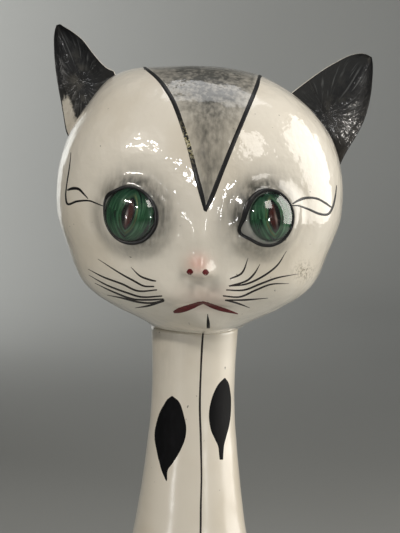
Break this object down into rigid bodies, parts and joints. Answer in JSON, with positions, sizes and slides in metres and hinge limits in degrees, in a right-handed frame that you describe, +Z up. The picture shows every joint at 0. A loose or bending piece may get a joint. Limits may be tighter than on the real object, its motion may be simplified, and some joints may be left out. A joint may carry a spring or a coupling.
{
  "type": "cat figurine",
  "caption": "Seated long-necked cat ornament of lacquered papier-mache with cupped black ears, domed glass eyes, a curled tail and a head that turns on its neck.",
  "frame": {"origin": "on the ground, at the underside of the felt, under the axis of the neck", "axes": "+Z up; the cat looks along -Y; +X is the cat's own left side"},
  "size_m": [0.1202, 0.1246, 0.3978],
  "materials": {
    "lacquered_paper": "cream-white paint under thick clear lacquer, wet-looking gloss",
    "black_enamel": "black brush-painted enamel under clear lacquer",
    "clear_glass": "polished, colourless glass dome over a painted back",
    "iris_enamel": "hand-painted green iris with a dark red slit pupil",
    "putty": "dull, hand-pressed",
    "pine_wood": "bare, sanded",
    "plaster": "cast, dusty matte",
    "felt": "dark green wool felt",
    "steel": "plain zinc-plated steel"
  },
  "bodies": {
    "body": {"body_back_shell": "lacquered_paper", "body_front_shell": "lacquered_paper", "felt_pad": "felt", "foot_board": "pine_wood", "foot_screw": "steel", "front_paw_left": "lacquered_paper", "front_paw_right": "lacquered_paper", "hind_paw_left": "lacquered_paper", "hind_paw_right": "lacquered_paper", "neck_plug": "pine_wood", "plaster_ballast": "plaster", "spine_dowel": "pine_wood", "tail": "lacquered_paper", "tail_wire": "steel"},
    "head": {"ear_left": "black_enamel", "ear_right": "black_enamel", "eye_glass_left": "clear_glass", "eye_glass_right": "clear_glass", "eye_iris_left": "iris_enamel", "eye_iris_right": "iris_enamel", "eye_putty_left": "putty", "eye_putty_right": "putty", "face_shell": "lacquered_paper", "head_back_shell": "lacquered_paper", "head_block": "pine_wood"}
  },
  "joints": [
    {"name": "head_turn", "type": "hinge", "parent": "body", "child": "head", "pos_m": [0, 0, 0.3], "axis": [0, 0, 1], "continuous": true}
  ]
}
